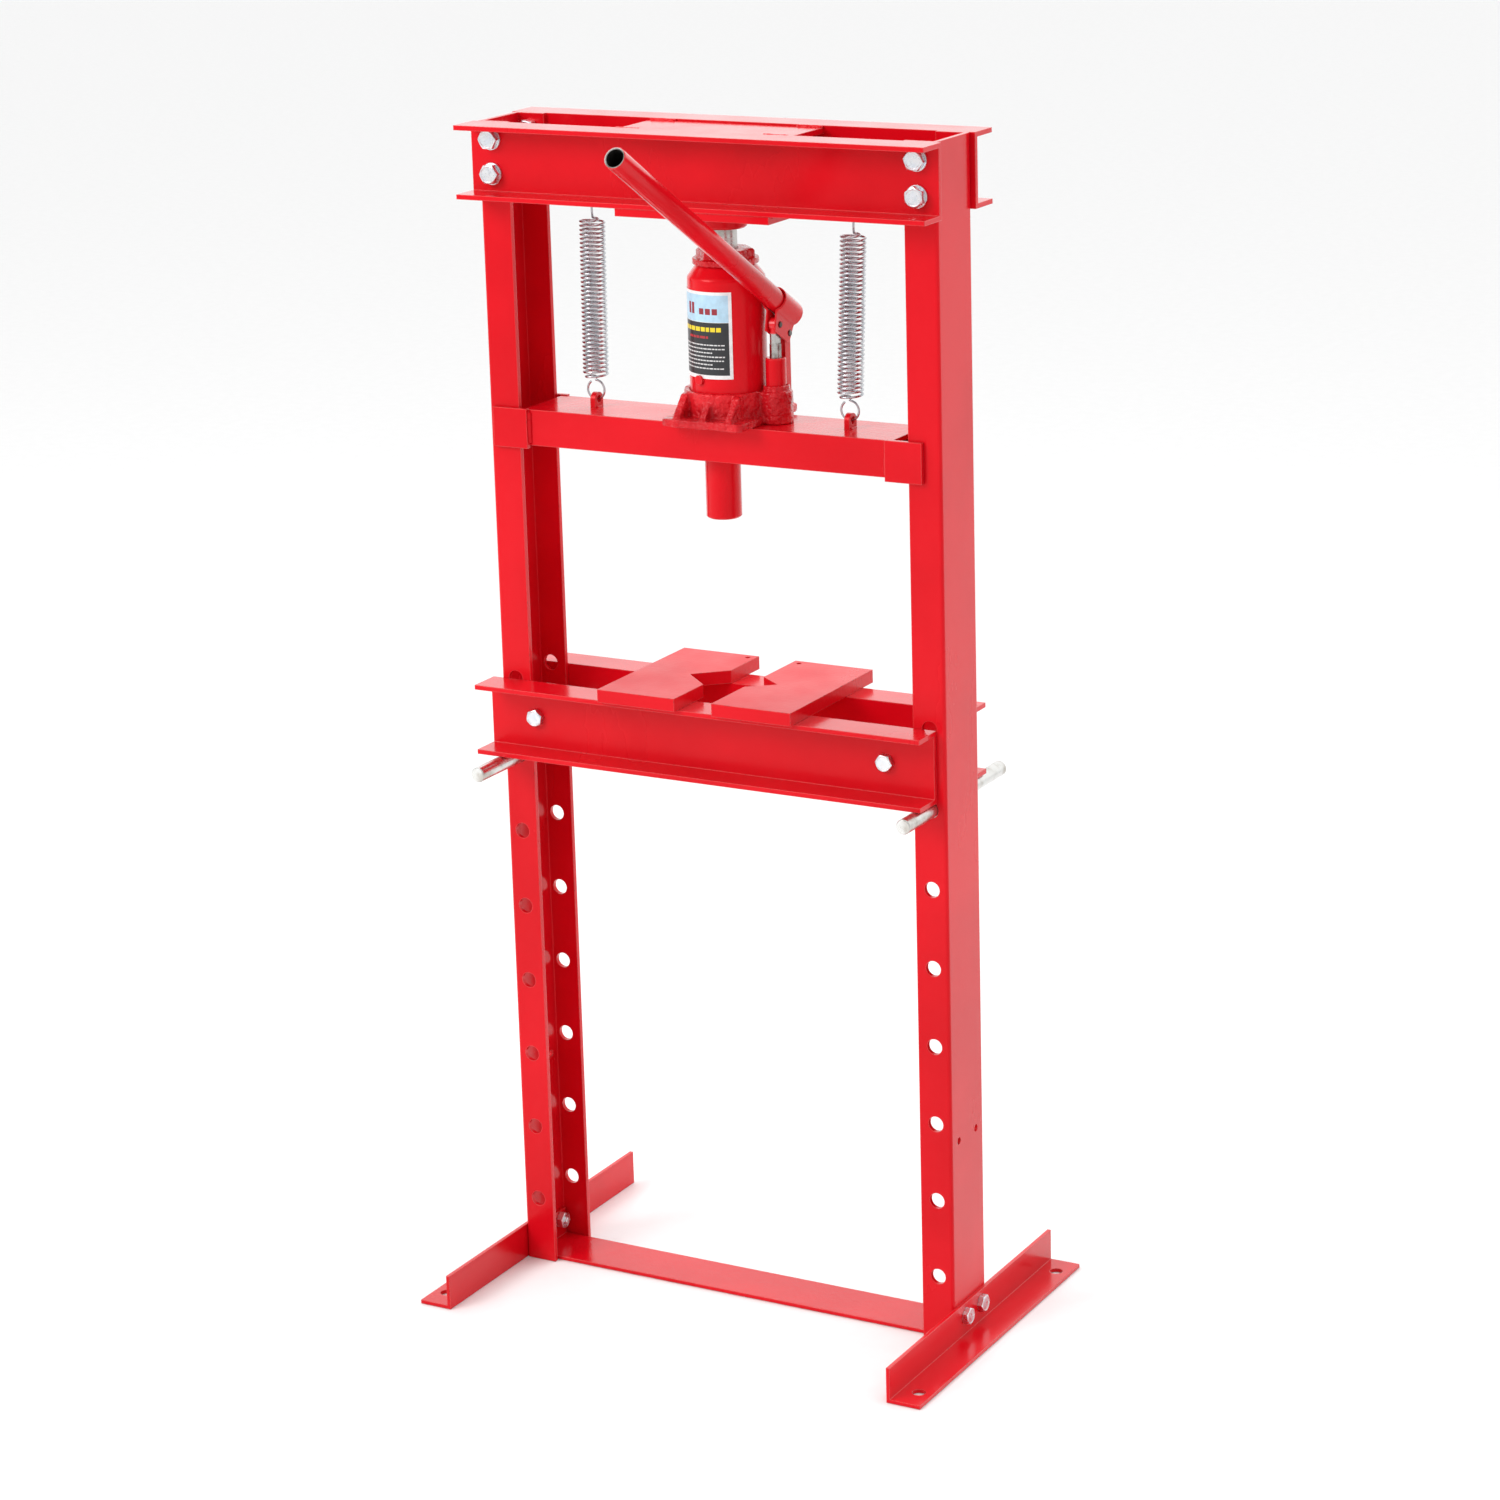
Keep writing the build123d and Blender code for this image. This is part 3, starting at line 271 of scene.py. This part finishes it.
for painted in ("left_upright", "right_upright", "top_beam_front", "top_beam_rear", "top_tie_plate",
                "head_plate", "ram_seat", "spring_hangers", "left_foot", "right_foot",
                "bed_channel_front", "bed_channel_rear", "press_beam", "pusher",
                "guide_plate_front_left", "guide_plate_front_right", "guide_plate_rear_left",
                "guide_plate_rear_right", "left_spring_lug", "right_spring_lug"):
    paint_node(painted, frame_paint)
paint_node("base_crossbar", bar_paint)
for plate in ("left_arbor_plate", "right_arbor_plate"):
    paint_node(plate, plate_paint)
for tank_part in ("jack_tank", "pump_cylinder", "link_bar", "filler_plug"):
    paint_node(tank_part, tank_paint)
for hidden in ("bed_spacer_sleeves", "top_beam_washers"):
    paint_node(hidden, zinc)
for pin in ("left_bed_pin", "right_bed_pin"):
    paint_node(pin, pin_steel)
for turned in ("ram", "pressure_cylinder"):
    paint_node(turned, steel)
PAINTED_EYE = 0.016            # height of the painted top of the pump piston
pump_eye_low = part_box("pump_piston")[1].z - PAINTED_EYE
paint_node("pump_piston", painted_eye("painted_piston", pump_eye_low))
for oiled in ("link_lower_pin", "socket_pins", "release_valve"):
    paint_node(oiled, dark_steel)


# ---- mesh helpers -------------------------------------------------------------------------------
def new_piece(name, vertices, faces, material, body=None, smooth_angle=35.0):
    mesh = bpy.data.meshes.new(name)
    mesh.from_pydata([tuple(v) for v in vertices], [], faces)
    mesh.materials.append(material)
    mesh.validate()
    build = bmesh.new()
    build.from_mesh(mesh)
    bmesh.ops.recalc_face_normals(build, faces=build.faces)
    build.to_mesh(mesh)
    build.free()
    mesh.shade_smooth()
    mesh.set_sharp_from_angle(angle=math.radians(smooth_angle))
    piece = bpy.data.objects.new(name, mesh)
    bpy.context.scene.collection.objects.link(piece)
    if body:
        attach(piece, body)
    return piece


def tube(points, radii, sides):
    """Vertices and faces of a round tube through points, its frame carried along without twist."""
    vertices, faces = [], []
    across = None
    count = len(points)
    for index, point in enumerate(points):
        ahead = points[min(index + 1, count - 1)] - points[max(index - 1, 0)]
        ahead.normalize()
        if across is None:
            across = ahead.orthogonal().normalized()
        across = (across - ahead * across.dot(ahead)).normalized()
        other = ahead.cross(across)
        radius = radii[index] if isinstance(radii, list) else radii
        for side in range(sides):
            turn = 2 * math.pi * side / sides
            vertices.append(point + radius * (math.cos(turn) * across + math.sin(turn) * other))
    for index in range(count - 1):
        for side in range(sides):
            low, next_side = index * sides + side, index * sides + (side + 1) % sides
            faces.append((low, next_side, next_side + sides, low + sides))
    faces.append(tuple(range(sides - 1, -1, -1)))
    faces.append(tuple(range((count - 1) * sides, count * sides)))
    return vertices, faces


def joined(parts):
    """Several (vertices, faces) lists as one."""
    vertices, faces = [], []
    for part_vertices, part_faces in parts:
        first = len(vertices)
        faces += [tuple(index + first for index in face) for face in part_faces]
        vertices += part_vertices
    return vertices, faces


def lathe(profile, sides, place):
    """Rings of (radius, height) about local Z, joined and placed; either may be a function of angle."""
    vertices, faces = [], []
    for radius, height in profile:
        for side in range(sides):
            turn = 2 * math.pi * side / sides
            reach = radius(turn) if callable(radius) else radius
            rise = height(turn) if callable(height) else height
            vertices.append(place @ Vector((reach * math.cos(turn), reach * math.sin(turn), rise)))
    rings = len(profile)
    for ring in range(rings - 1):
        for side in range(sides):
            low, next_side = ring * sides + side, ring * sides + (side + 1) % sides
            faces.append((low, next_side, next_side + sides, low + sides))
    return vertices, faces


def capped(shape, sides):
    """A lathe shape closed with a face at each end."""
    vertices, faces = shape
    faces = list(faces)
    faces.append(tuple(range(sides - 1, -1, -1)))
    faces.append(tuple(range(len(vertices) - sides, len(vertices))))
    return vertices, faces


def axis_place(origin, direction, spin=0.0):
    """A matrix whose local Z is direction, turned about it by spin degrees."""
    turn = Vector(direction).to_track_quat("Z", "Y").to_matrix().to_4x4()
    return Matrix.Translation(origin) @ turn @ Matrix.Rotation(math.radians(spin), 4, "Z")


# ---- fasteners ----------------------------------------------------------------------------------
HEX_SIDES = 72
SHANK_SIDES = 28
CHAMFER = math.radians(30)     # of a hexagon's turned-down corners
CROWN = 0.94                   # radius of its flat top, as a share of half its width over flats
THREAD_LENGTH = 0.018
THREAD_PITCH = 0.0016
TOP_FLATS = 0.019              # width over flats of the top beam's hexagons
SMALL_FLATS = 0.017            # and of those on the feet and the bed


def hex_reach(flats):
    """Distance from a hexagon's centre to its side, by angle."""
    def reach(turn):
        off = (turn + math.pi / 6) % (math.pi / 3) - math.pi / 6
        return flats / 2 / math.cos(off)
    return reach


def hex_head(flats, height, place, both_ends=False):
    """A hexagon with its corners turned down to a cone, as on a real bolt head or nut."""
    reach = hex_reach(flats)
    crown = flats / 2 * CROWN

    def drop(turn):
        return (reach(turn) - crown) * math.tan(CHAMFER)

    profile = []
    if both_ends:
        profile += [(crown, 0.0), (reach, drop)]
    else:
        profile += [(crown, -0.0003), (crown, 0.0), (reach, 0.0002)]
    profile += [(reach, lambda turn: height - drop(turn)), (crown, height)]
    profile += [(crown * 0.90, height), (crown * 0.86, height - 0.0004)]
    return capped(lathe(profile, HEX_SIDES, place), HEX_SIDES)


def thread(radius, start, end, place):
    """A shank with ring threads between two heights and a chamfered tip."""
    profile = [(radius * 0.96, 0.0), (radius * 0.96, start)]
    steps = int(abs(end - start) / THREAD_PITCH)
    sign = 1 if end > start else -1
    for step in range(steps):
        low = start + sign * step * THREAD_PITCH
        profile.append((radius, low + sign * THREAD_PITCH * 0.35))
        profile.append((radius * 0.88, low + sign * THREAD_PITCH * 0.85))
    profile.append((radius * 0.84, end))
    profile.append((radius * 0.70, end + sign * 0.0008))
    return capped(lathe(profile, SHANK_SIDES, place), SHANK_SIDES)


def group_boxes(node):
    """The box of each separate solid in a CAD node, found by its connected vertices."""
    mesh = nodes[node].data
    build = bmesh.new()
    build.from_mesh(mesh)
    bmesh.ops.remove_doubles(build, verts=build.verts, dist=1e-6)
    seen, boxes = set(), []
    for vertex in build.verts:
        if vertex in seen:
            continue
        stack, island = [vertex], []
        seen.add(vertex)
        while stack:
            current = stack.pop()
            island.append(current.co.copy())
            for edge in current.link_edges:
                other = edge.other_vert(current)
                if other not in seen:
                    seen.add(other)
                    stack.append(other)
        low = Vector(min(v[i] for v in island) for i in range(3))
        high = Vector(max(v[i] for v in island) for i in range(3))
        boxes.append((low, high))
    build.free()
    return boxes


def bolts(node, body, axis, flats, head, shank, outward):
    """Detailed bolts in place of a CAD node's: outward gives each head's direction from its box."""
    shapes = []
    for low, high in group_boxes(node):
        centre = (low + high) / 2
        side = outward(centre)
        tip = high[axis] if side > 0 else low[axis]
        tail = low[axis] if side > 0 else high[axis]
        direction = [0, 0, 0]
        direction[axis] = side
        seat = centre.copy()
        seat[axis] = tip - side * head
        place = axis_place(seat, direction, dice.uniform(0, 60))
        shapes.append(hex_head(flats, head, place))
        length = abs(seat[axis] - tail)
        shapes.append(thread(shank, -(length - THREAD_LENGTH), -length + 0.0008, place))
    vertices, faces = joined(shapes)
    piece = new_piece(node + "_detail", vertices, faces, zinc, body, 28.0)
    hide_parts(node)


def nuts(node, body, axis, flats):
    """Detailed nuts in place of a CAD node's."""
    shapes = []
    for low, high in group_boxes(node):
        centre = (low + high) / 2
        direction = [0, 0, 0]
        direction[axis] = 1
        seat = centre.copy()
        seat[axis] = low[axis]
        place = axis_place(seat, direction, dice.uniform(0, 60))
        shapes.append(hex_head(flats, high[axis] - low[axis], place, both_ends=True))
    vertices, faces = joined(shapes)
    piece = new_piece(node + "_detail", vertices, faces, zinc, body, 28.0)
    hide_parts(node)


bolts("top_beam_bolts", "frame", 1, TOP_FLATS, 0.0075, 0.006, lambda c: 1 if c.y > 0 else -1)
bolts("foot_bolts", "frame", 0, SMALL_FLATS, 0.0065, 0.005, lambda c: 1 if c.x > 0 else -1)
bolts("bed_bolts", "bed", 1, SMALL_FLATS, 0.0065, 0.005, lambda c: -1)
nuts("top_beam_nuts", "frame", 1, TOP_FLATS)
nuts("foot_nuts", "frame", 0, SMALL_FLATS)
nuts("bed_nuts", "bed", 1, SMALL_FLATS)


# ---- springs ------------------------------------------------------------------------------------
CAD_WIRE = 0.0015              # wire and coil radii of the CAD springs
COIL_RADIUS = 0.014
SPRING_WIRE = 0.0012           # radius of the drawn wire, a little under the CAD's
HOOK_RADIUS = 0.010
HOOK_GAP = 0.003               # between a hook and the coils
TOP_SHANK = 0.0225             # straight wire between the coils and the upper hook
COIL_TURNS = 37
COIL_STEPS = 18


def spring_path(node, lug):
    """Hook through the lug, open coils, hook over the hanger bar, as one wire."""
    low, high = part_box(node)
    lug_low, lug_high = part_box(lug)
    bottom_x = (lug_low.x + lug_high.x) / 2
    bottom = Vector((bottom_x, 0, low.z + CAD_WIRE + HOOK_RADIUS))
    hangers = sorted(group_boxes("spring_hangers"), key=lambda box: box[0].x)
    hanger_low, hanger_high = hangers[0] if bottom_x < 0 else hangers[1]
    top = Vector(((hanger_low.x + hanger_high.x) / 2, 0, high.z - CAD_WIRE - HOOK_RADIUS))
    lean = (top - bottom).normalized()
    coil_radius = COIL_RADIUS - CAD_WIRE
    coil_start = bottom + lean * (HOOK_RADIUS + HOOK_GAP)
    coil_end = top - lean * (HOOK_RADIUS + TOP_SHANK)
    points = []
    for step in range(25):
        turn = math.radians(-235 + 325 * step / 24)
        points.append(bottom + HOOK_RADIUS * Vector((math.cos(turn), 0, math.sin(turn))))
    span = coil_end - coil_start
    across = Vector((1, 0, 0))
    other = Vector((0, 1, 0))
    steps = COIL_TURNS * COIL_STEPS
    ease = COIL_STEPS // 2
    for step in range(steps + 1):
        turn = 2 * math.pi * step / COIL_STEPS + math.pi / 2
        reach = coil_radius * min(1.0, (step + 1) / ease, (steps - step + 1) / ease)
        centre = coil_start + span * (step / steps)
        points.append(centre + reach * (math.cos(turn) * across + math.sin(turn) * other))
    rise_low = coil_end + lean * HOOK_GAP
    for step in range(1, 5):
        points.append(rise_low + (top - lean * HOOK_RADIUS - rise_low) * (step / 5))
    for step in range(27):
        turn = math.radians(-90 + 300 * step / 26)
        points.append(top + HOOK_RADIUS * Vector((math.cos(turn), 0, math.sin(turn))))
    return points


for spring, lug in (("left_spring", "left_spring_lug"), ("right_spring", "right_spring_lug")):
    wire_vertices, wire_faces = tube(spring_path(spring, lug), SPRING_WIRE, 8)
    coil = new_piece(spring + "_wire", wire_vertices, wire_faces, spring_zinc, None, 60)
    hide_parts(spring)
    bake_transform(coil)


# ---- welds --------------------------------------------------------------------------------------
BEAD_STEP = 0.0009
SEAM_INSET = 0.002
TIE_RUN = 0.030
HEAD_RUN = 0.028


def weld(name, path, radius, body, closed=False):
    """A run of weld along a path: a bead whose width ripples."""
    points, radii = [], []
    for first, second in zip(path, path[1:]):
        length = (second - first).length
        steps = max(2, int(length / BEAD_STEP))
        for step in range(steps):
            points.append(first + (second - first) * (step / steps))
    points.append(path[-1])
    drift = 0.0
    for index in range(len(points)):
        drift = 0.8 * drift + 0.2 * dice.uniform(-1, 1)
        ripple = 0.12 * abs(math.sin(index * 0.9))
        end = min(1.0, (index + 2) / 4, (len(points) - index + 1) / 4) if not closed else 1.0
        radii.append(radius * (0.85 + ripple + 0.28 * drift) * end)
    vertices, faces = tube(points, radii, 9)
    return new_piece(name, vertices, faces, frame_paint, body, 70)


def ring_path(centre, radius, steps=48):
    return [
        centre + Vector((radius * math.cos(2 * math.pi * s / steps),
                         radius * math.sin(2 * math.pi * s / steps), 0))
        for s in range(steps + 1)
    ]


for across in ("left", "right"):
    for along in ("front", "rear"):
        low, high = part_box("guide_plate_" + along + "_" + across)
        beam_low, beam_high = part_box("press_beam")
        seam_x = high.x if across == "left" else low.x
        face_y = beam_low.y if along == "front" else beam_high.y
        seam = [Vector((seam_x, face_y, z)) for z in (beam_low.z + SEAM_INSET, beam_high.z - SEAM_INSET)]
        weld("weld_guide_" + along + "_" + across, seam, 0.0036, "press_beam")

low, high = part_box("pusher")
middle = (low + high) / 2
weld("weld_pusher", ring_path(Vector((middle.x, middle.y, high.z)), (high.x - low.x) / 2 + 0.0006),
     0.0026, "press_beam", True)
low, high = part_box("ram_seat")
middle = (low + high) / 2
weld("weld_ram_seat", ring_path(Vector((middle.x, middle.y, high.z)), (high.x - low.x) / 2 + 0.0004),
     0.0024, "frame", True)
for lug in ("left_spring_lug", "right_spring_lug"):
    low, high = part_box(lug)
    for side, edge_x in (("a", low.x), ("b", high.x)):
        run = [Vector((edge_x, low.y + 0.001, low.z)), Vector((edge_x, high.y - 0.001, low.z))]
        weld("weld_" + lug + "_" + side, run, 0.0020, "press_beam")
plate_low, plate_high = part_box("top_tie_plate")
for end, edge_x in (("left", plate_low.x), ("right", plate_high.x)):
    for along, edge_y in (("front", plate_low.y + SEAM_INSET), ("rear", plate_high.y - SEAM_INSET)):
        inward = TIE_RUN if end == "left" else -TIE_RUN
        run = [Vector((x, edge_y, plate_high.z)) for x in (edge_x, edge_x + inward)]
        weld("weld_tie_" + along + "_" + end, run, 0.0026, "frame")
plate_low, plate_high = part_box("head_plate")
beam_inner_y = abs(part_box("top_beam_front")[1].y)
for end, edge_x in (("left", plate_low.x), ("right", plate_high.x)):
    for along, side in (("front", -1), ("rear", 1)):
        start_y = side * (beam_inner_y + 0.004)
        run = [Vector((edge_x, y, plate_high.z)) for y in (start_y, start_y + side * HEAD_RUN)]
        weld("weld_head_" + along + "_" + end, run, 0.0026, "frame")


# ---- castings: the jack's base, cap and handle socket get soft, rounded edges --------------------
def soft_copy(node, voxel, smooth, rough, material, body):
    """A remeshed copy of a CAD node with rounded edges and a slightly uneven skin."""
    mesh = nodes[node].data.copy()
    mesh.materials.clear()
    mesh.materials.append(material)
    piece = bpy.data.objects.new(node + "_cast", mesh)
    bpy.context.scene.collection.objects.link(piece)
    merge = piece.modifiers.new("merge", "WELD")
    merge.merge_threshold = 1e-6
    remesh = piece.modifiers.new("remesh", "REMESH")
    remesh.mode = "VOXEL"
    remesh.voxel_size = voxel
    remesh.use_smooth_shade = True
    relax = piece.modifiers.new("relax", "SMOOTH")
    relax.factor = 0.5
    relax.iterations = smooth
    if rough:
        clouds = bpy.data.textures.new(node + "_clouds", "CLOUDS")
        clouds.noise_scale = 0.012
        lumps = piece.modifiers.new("lumps", "DISPLACE")
        lumps.texture = clouds
        lumps.texture_coords = "GLOBAL"
        lumps.strength = rough
        lumps.mid_level = 0.5
    bpy.context.view_layer.update()
    graph = bpy.context.evaluated_depsgraph_get()
    final = bpy.data.meshes.new_from_object(piece.evaluated_get(graph))
    piece.modifiers.clear()
    piece.data = final
    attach(piece, body)
    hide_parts(node)
    return piece


soft_copy("jack_base", 0.0011, 6, 0.0016, iron_paint, "press_beam")
soft_copy("jack_cap_nut", 0.0009, 4, 0.0006, iron_paint, "press_beam")
soft_copy("handle_socket", 0.0007, 4, 0.0, tank_paint, "handle_socket")


# ---- label: printed panels with bars where words would be ---------------------------------------
label_low, label_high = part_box("jack_label")
tank_low, tank_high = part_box("jack_tank")
tank_axis = Vector(((tank_low.x + tank_high.x) / 2, (tank_low.y + tank_high.y) / 2, 0))
tank_radius = (tank_high.x - tank_low.x) / 2
LABEL_START, LABEL_END = -72.0, 36.0     # degrees from straight ahead
FOIL = 0.0004
INK = 0.00008                 # each layer of print stands this much further out
label_height = label_high.z - label_low.z


def patch(start, end, low, high, lift):
    """A curved patch on the tank, its ends and heights as shares of the label, lift in print layers."""
    steps = max(2, int(40 * (end - start)) + 1)
    vertices, faces = [], []
    inner = tank_radius + 0.0001
    outer = tank_radius + FOIL + lift * INK
    for step in range(steps + 1):
        share = start + (end - start) * step / steps
        angle = math.radians(LABEL_START + (LABEL_END - LABEL_START) * share)
        out = Vector((math.sin(angle), -math.cos(angle), 0))
        for reach in (inner, outer):
            for level in (low, high):
                height = label_low.z + label_height * level
                vertices.append(tank_axis + out * reach + Vector((0, 0, height)))
    for step in range(steps):
        a, b = step * 4, step * 4 + 4
        faces += [(a + 2, b + 2, b + 3, a + 3), (a, a + 1, b + 1, b)]
        faces += [(a, b, b + 2, a + 2), (a + 1, a + 3, b + 3, b + 1)]
    last = steps * 4
    faces += [(0, 2, 3, 1), (last, last + 1, last + 3, last + 2)]
    return vertices, faces


def label_piece(name, patches, colour, replaces=False):
    vertices, faces = joined(patches)
    piece = new_piece(name, vertices, faces, ink(name + "_ink", colour), "press_beam", 40)
    if replaces:
        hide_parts("jack_label")


def bar_row(level, thickness, start, end, gap=0.012, shortest=0.03, longest=0.10):
    """A row of bars of uneven length, the look of a line of print."""
    row, share = [], start
    while share < end - shortest:
        width = min(dice.uniform(shortest, longest), end - share)
        row.append(patch(share, share + width, level, level + thickness, 2))
        share += width + gap
    return row


label_piece("label_border", [patch(0.0, 1.0, 0.0, 1.0, 0)], (0.86, 0.86, 0.86, 1), True)
label_piece("label_upper_panel", [patch(0.045, 0.955, 0.655, 0.965, 1)], (0.46, 0.70, 0.86, 1))
label_piece("label_lower_panel", [patch(0.045, 0.955, 0.045, 0.650, 1)], (0.012, 0.013, 0.016, 1))
headline = [patch(start, start + 0.055, 0.74, 0.87, 2) for start in (0.30, 0.38)]
headline += [patch(start, start + 0.075, 0.74, 0.81, 2) for start in (0.53, 0.63, 0.73)]
label_piece("label_headline", headline, (0.30, 0.010, 0.025, 1))
title = bar_row(0.545, 0.050, 0.10, 0.88, 0.015, 0.05, 0.09)
label_piece("label_title", title, (0.85, 0.66, 0.01, 1))
label_piece("label_note", bar_row(0.465, 0.028, 0.30, 0.70), (0.45, 0.012, 0.02, 1))
lines = []
for row in range(7):
    line_end = 0.90 - 0.18 * (row % 3 == 2)
    lines += bar_row(0.385 - row * 0.045, 0.014, 0.10, line_end, 0.010, 0.02, 0.06)
label_piece("label_lines", lines, (0.70, 0.70, 0.70, 1))


# ---- handle: painted outside, bare in the bore and on the cut rim -------------------------------
handle_joint = next(joint for joint in frame["joints"] if joint["name"] == "handle_draw")
handle_axis = Vector(handle_joint["axis"]).normalized()
handle_points = [vertex.co for vertex in nodes["handle_tube"].data.vertices]
reaches = [point.dot(handle_axis) for point in handle_points]
near_rim = [point for point, reach in zip(handle_points, reaches) if reach < min(reaches) + 1e-5]
handle_length = max(reaches) - min(reaches)
rim_centre = sum(near_rim, Vector()) / len(near_rim)
handle_outer = max((point - rim_centre).length for point in near_rim)
handle_inner = min((point - rim_centre).length for point in near_rim)
handle_place = axis_place(rim_centre, handle_axis)
CUT = 0.0006
outside = [(handle_inner + CUT, 0.0), (handle_outer - CUT, 0.0), (handle_outer, CUT),
           (handle_outer, handle_length - CUT), (handle_outer - CUT, handle_length)]
inside = [(handle_outer - CUT, handle_length), (handle_inner + CUT, handle_length),
          (handle_inner, handle_length - CUT), (handle_inner, CUT), (handle_inner + CUT, 0.0)]
skin_vertices, skin_faces = lathe(outside, 64, handle_place)
handle_skin = new_piece("handle_skin", skin_vertices, skin_faces, frame_paint, "handle")
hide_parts("handle_tube")
bore_vertices, bore_faces = lathe(inside, 64, handle_place)
new_piece("handle_bore", bore_vertices, bore_faces, dark_steel, "handle")


# ---- camera, floor and light --------------------------------------------------------------------
AZIMUTH, ELEVATION, ROLL = 29.35, 14.91, -1.63
DISTANCE = 4.172
TARGET = Vector((0.0122, 0.0, 0.7212))
LENS = 96.4
SHIFT = (0.0043, -0.07)
FLOOR_SIZE = 60


def make_camera():
    azimuth, elevation = math.radians(AZIMUTH), math.radians(ELEVATION)
    back = Vector((
        math.sin(azimuth) * math.cos(elevation),
        -math.cos(azimuth) * math.cos(elevation),
        math.sin(elevation),
    ))
    data = bpy.data.cameras.new("camera")
    data.lens = LENS
    data.shift_x, data.shift_y = SHIFT
    data.sensor_width = 36.0
    data.clip_end = 100.0
    camera = bpy.data.objects.new("camera", data)
    camera.rotation_mode = "QUATERNION"
    camera.location = TARGET + back * DISTANCE
    turn = (-back).to_track_quat("-Z", "Y").to_matrix() @ Matrix.Rotation(math.radians(ROLL), 3, "Z")
    camera.rotation_quaternion = turn.to_quaternion()
    bpy.context.scene.collection.objects.link(camera)
    bpy.context.scene.camera = camera


def area_light(name, place, aim, size, power):
    data = bpy.data.lights.new(name, "AREA")
    data.shape = "RECTANGLE"
    data.size, data.size_y = size
    data.energy = power
    light = bpy.data.objects.new(name, data)
    light.location = place
    light.visible_camera = False
    light.rotation_mode = "QUATERNION"
    light.rotation_quaternion = (Vector(aim) - Vector(place)).to_track_quat("-Z", "Y")
    bpy.context.scene.collection.objects.link(light)


def make_studio():
    bpy.ops.mesh.primitive_plane_add(size=FLOOR_SIZE, location=(0, 0, -0.0005))
    floor = bpy.context.object
    floor.name = "studio_floor"
    floor.data.materials.append(make_floor_material())
    make_world()
    area_light("key", (-2.2, -3.2, 3.2), (0, 0, 0.6), (2.0, 2.0), 100)
    area_light("top", (0.2, 0.8, 3.6), (0, 0, 0.8), (2.4, 2.0), 30)


def make_world():
    """A white studio, brighter behind the object than in front of it."""
    world = bpy.data.worlds.new("studio")
    world.use_nodes = True
    tree = world.node_tree
    direction = tree.nodes.new("ShaderNodeTexCoord")
    along = tree.nodes.new("ShaderNodeVectorMath")
    along.operation = "DOT_PRODUCT"
    along.inputs[1].default_value = (0.0, 0.95, 0.3)
    tree.links.new(direction.outputs["Generated"], along.inputs[0])
    strength = tree.nodes.new("ShaderNodeMapRange")
    for socket, number in zip(strength.inputs[1:5], (-0.7, 0.9, 0.70, 1.25)):
        socket.default_value = number
    tree.links.new(along.outputs["Value"], strength.inputs[0])
    background = tree.nodes["Background"]
    background.inputs["Color"].default_value = (1, 1, 1, 1)
    tree.links.new(strength.outputs[0], background.inputs["Strength"])
    bpy.context.scene.world = world


make_camera()
make_studio()
bpy.context.scene.view_settings.view_transform = "Standard"
